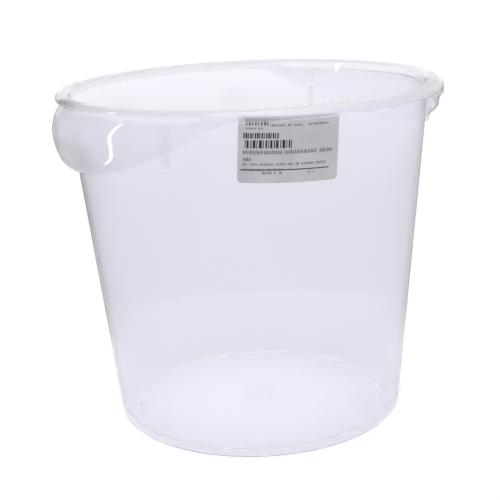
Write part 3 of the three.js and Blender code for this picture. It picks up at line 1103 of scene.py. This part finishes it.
def add_panel(name, place, width, tall, material):
    """A flat panel of the stage, its place in its mesh."""
    points = [place @ Vector((x * width / 2.0, y * tall / 2.0, 0.0)) for x, y in PANEL_CORNERS]
    panel = new_piece(name, points, [(0, 1, 2, 3)])
    panel.data.materials.append(material)
    return panel


def add_camera(stage, facing):
    """The scene's camera, placed from the tub's axis."""
    scene = bpy.context.scene
    lens = bpy.data.cameras.new("camera")
    lens.lens = stage.lens
    lens.sensor_width = SENSOR_WIDTH
    lens.clip_start = NEAR_CLIP
    camera = bpy.data.objects.new("camera", lens)
    ahead = Vector((math.sin(stage.pan) * math.cos(stage.pitch),
                    math.cos(stage.pan) * math.cos(stage.pitch), -math.sin(stage.pitch)))
    level = Vector((math.cos(stage.pan), -math.sin(stage.pan), 0.0))
    above = level.cross(ahead)
    right = level * math.cos(stage.roll) + above * math.sin(stage.roll)
    up = above * math.cos(stage.roll) - level * math.sin(stage.roll)
    axes = Matrix((right, up, -ahead)).transposed().to_4x4()
    spot = Matrix.Translation((0.0, -stage.distance, stage.height))
    camera.matrix_world = facing @ spot @ axes
    scene.collection.objects.link(camera)
    scene.camera = camera


def make_stage(settings):
    """The table, the world, the lamps and the camera."""
    scene = bpy.context.scene
    stage = settings.stage
    facing = Matrix.Rotation(stage.turn, 4, "Z")
    add_panel("table_top", Matrix.Translation((0.0, 0.0, -TABLE_GAP)), TABLE_SIDE, TABLE_SIDE,
              table_top(settings.finish, facing))
    scene.world = studio_world(stage, facing)
    sun = bpy.data.lights.new("soft_sun", "SUN")
    sun.angle = SUN_SPREAD
    sun.energy = stage.top_power
    lamp = bpy.data.objects.new("soft_sun", sun)
    lamp.matrix_world = facing @ Matrix.Rotation(SUN_LEAN, 4, "Y")
    lamp.visible_camera = False
    scene.collection.objects.link(lamp)
    glow = strip_glow(stage)
    for name, place, lean, tall in STRIPS:
        turned = STRIP_AXES @ Matrix.Rotation(lean, 4, "Z")
        strip = add_panel(name, facing @ Matrix.Translation(place) @ turned,
                          STRIP_WIDTH, tall, glow)
        for rays in ("camera", "diffuse", "shadow"):
            setattr(strip, "visible_" + rays, False)
    add_camera(stage, facing)
    scene.view_settings.view_transform = "Standard"


# Operators and panel

class FOODTUB_OT_moulding(bpy.types.Operator):
    """Make the clear tub with its rim, grips and ribs"""
    bl_idname = "food_tub.moulding"
    bl_label = "Make Tub"

    def execute(self, context):
        piece = make_tub(context.scene.food_tub)
        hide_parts("container_body")
        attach(piece, "root")
        return {"FINISHED"}


class FOODTUB_OT_label(bpy.types.Operator):
    """Make the paper label and its print"""
    bl_idname = "food_tub.label"
    bl_label = "Make Label"

    def execute(self, context):
        settings = context.scene.food_tub
        paper_in_shade = make_label(settings)
        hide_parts("stock_label")
        ink = make_print(settings)
        for piece in (paper_in_shade, ink):
            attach(piece, "root")
        return {"FINISHED"}


class FOODTUB_OT_stage(bpy.types.Operator):
    """Make the table, the lamps, the world and the camera"""
    bl_idname = "food_tub.stage"
    bl_label = "Make Stage"

    def execute(self, context):
        make_stage(context.scene.food_tub)
        return {"FINISHED"}


class FOODTUB_PT_panel(bpy.types.Panel):
    """Lists the tub's settings and operators"""
    bl_idname = "FOODTUB_PT_panel"
    bl_label = "Food Tub"
    bl_space_type = "VIEW_3D"
    bl_region_type = "UI"
    bl_category = "Food Tub"

    def draw(self, context):
        settings = context.scene.food_tub
        for title in settings.__annotations__:
            group = getattr(settings, title)
            box = self.layout.box()
            box.label(text=settings.bl_rna.properties[title].name)
            for name in group.__annotations__:
                box.prop(group, name)
        for operator in OPERATORS:
            self.layout.operator(operator.bl_idname)


OPERATORS = (FOODTUB_OT_moulding, FOODTUB_OT_label, FOODTUB_OT_stage)
CLASSES = (TubSizes, GripSizes, LabelSizes, Finishes, StageSettings, FoodTubSettings,
           *OPERATORS, FOODTUB_PT_panel)


def register():
    for item in CLASSES:
        bpy.utils.register_class(item)
    bpy.types.Scene.food_tub = PointerProperty(name="Food Tub", description="Food tub settings",
                                               type=FoodTubSettings)


def unregister():
    del bpy.types.Scene.food_tub
    for item in reversed(CLASSES):
        bpy.utils.unregister_class(item)


def main():
    register()
    bpy.ops.food_tub.moulding()
    bpy.ops.food_tub.label()
    bpy.ops.food_tub.stage()


if __name__ == "__main__":
    main()
